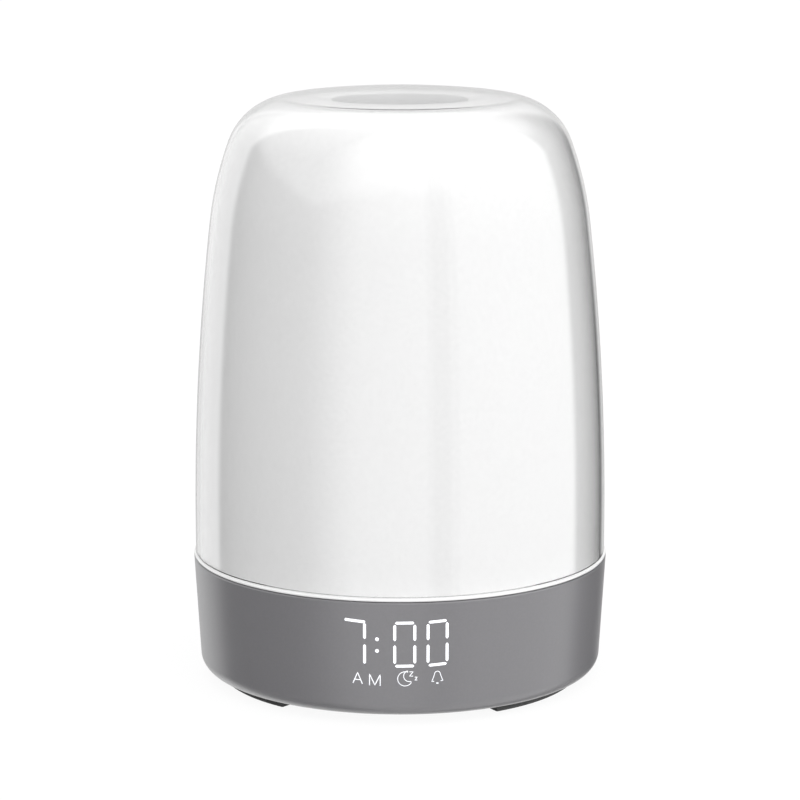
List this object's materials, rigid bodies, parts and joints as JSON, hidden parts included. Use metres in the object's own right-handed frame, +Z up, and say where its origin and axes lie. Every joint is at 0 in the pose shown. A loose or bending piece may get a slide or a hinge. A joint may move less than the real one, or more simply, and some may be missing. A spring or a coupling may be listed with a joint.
{
  "type": "sunrise alarm clock",
  "caption": "Bedside sunrise alarm clock: a tall domed opal light shade in a clear shell on a tapered grey base with a glow-through display, rear buttons and a touch plate under its crown.",
  "frame": {"origin": "on the vertical axis of the body, at the level the rubber feet stand on", "axes": "+Z up along the axis of the shade, -Y towards the display, +Y towards the buttons and the power inlet"},
  "size_m": [0.1104, 0.1104, 0.1568],
  "materials": {
    "clear_acrylic": "polished clear",
    "opal_plastic": "glossy opal white",
    "grey_abs": "fine satin moulded grey",
    "touch_grey": "satin light grey",
    "white_plastic": "matt white",
    "black_plastic": "matt black",
    "lamp_board": "white solder mask",
    "lamp_white": "phosphor over white package",
    "lamp_amber": "clear over amber package",
    "circuit_board": "green solder mask",
    "chip_epoxy": "matt epoxy",
    "plated_steel": "nickel plated",
    "feet_rubber": "matt rubber",
    "foam": "matt foam",
    "magnet": "zinc coated",
    "cone_film": "satin film",
    "ribbon": "satin ribbon",
    "wire": "insulated wire",
    "guide": "frosted light guide"
  },
  "bodies": {
    "root": {"shade_cover": "clear_acrylic", "opal_diffuser": "opal_plastic", "touch_plate": "touch_grey", "touch_spring": "plated_steel", "touch_post": "white_plastic", "touch_lead": "wire", "reflector_tray": "white_plastic", "led_board": "lamp_board", "white_leds": "lamp_white", "sunrise_leds": "lamp_amber", "base_housing": "grey_abs", "bottom_cover": "grey_abs", "coin_cell": "plated_steel", "cell_clip": "plated_steel", "right_foot": "feet_rubber", "left_foot": "feet_rubber", "rear_foot": "feet_rubber", "cover_screws": "plated_steel", "board_screws": "plated_steel", "main_board": "circuit_board", "controller_chip": "chip_epoxy", "clock_crystal": "plated_steel", "power_parts": "chip_epoxy", "display_board": "circuit_board", "display_shroud": "black_plastic", "segment_guides": "guide", "display_ribbon": "ribbon", "button_board": "circuit_board", "push_switches": "black_plastic", "button_ribbon": "ribbon", "inlet_board": "circuit_board", "inlet_shell": "plated_steel", "inlet_tongue": "black_plastic", "speaker_gasket": "foam", "speaker_frame": "magnet", "speaker_magnet": "magnet", "speaker_lead": "wire"},
    "time_button": {"time_button": "grey_abs", "time_plunger": "black_plastic"},
    "alarm_button": {"alarm_button": "grey_abs", "alarm_plunger": "black_plastic"},
    "down_button": {"down_button": "grey_abs", "down_plunger": "black_plastic"},
    "up_button": {"up_button": "grey_abs", "up_plunger": "black_plastic"},
    "light_button": {"light_button": "grey_abs", "light_plunger": "black_plastic"},
    "sound_button": {"sound_button": "grey_abs", "sound_plunger": "black_plastic"},
    "battery_cap": {"battery_cap": "grey_abs"},
    "speaker_cone": {"speaker_cone": "cone_film"}
  },
  "joints": [
    {"name": "time_press", "type": "slide", "parent": "root", "child": "time_button", "axis": [0, -1, 0], "range_m": [0, 0.0005], "stiffness_N_per_m": 1200, "springref_m": -0.0004},
    {"name": "alarm_press", "type": "slide", "parent": "root", "child": "alarm_button", "axis": [0, -1, 0], "range_m": [0, 0.0005], "stiffness_N_per_m": 1200, "springref_m": -0.0004},
    {"name": "down_press", "type": "slide", "parent": "root", "child": "down_button", "axis": [0, -1, 0], "range_m": [0, 0.0005], "stiffness_N_per_m": 1200, "springref_m": -0.0004},
    {"name": "up_press", "type": "slide", "parent": "root", "child": "up_button", "axis": [0, -1, 0], "range_m": [0, 0.0005], "stiffness_N_per_m": 1200, "springref_m": -0.0004},
    {"name": "light_press", "type": "slide", "parent": "root", "child": "light_button", "axis": [0, -1, 0], "range_m": [0, 0.0005], "stiffness_N_per_m": 1200, "springref_m": -0.0004},
    {"name": "sound_press", "type": "slide", "parent": "root", "child": "sound_button", "axis": [0, -1, 0], "range_m": [0, 0.0005], "stiffness_N_per_m": 1200, "springref_m": -0.0004},
    {"name": "battery_cap_twist", "type": "hinge", "parent": "root", "child": "battery_cap", "pos_m": [0, 0.022, 0.003], "axis": [0, 0, -1], "range_deg": [0, 40]},
    {"name": "speaker_cone_travel", "type": "slide", "parent": "root", "child": "speaker_cone", "axis": [0, 0, 1], "range_m": [-0.0003, 0.0003], "stiffness_N_per_m": 1500}
  ]
}
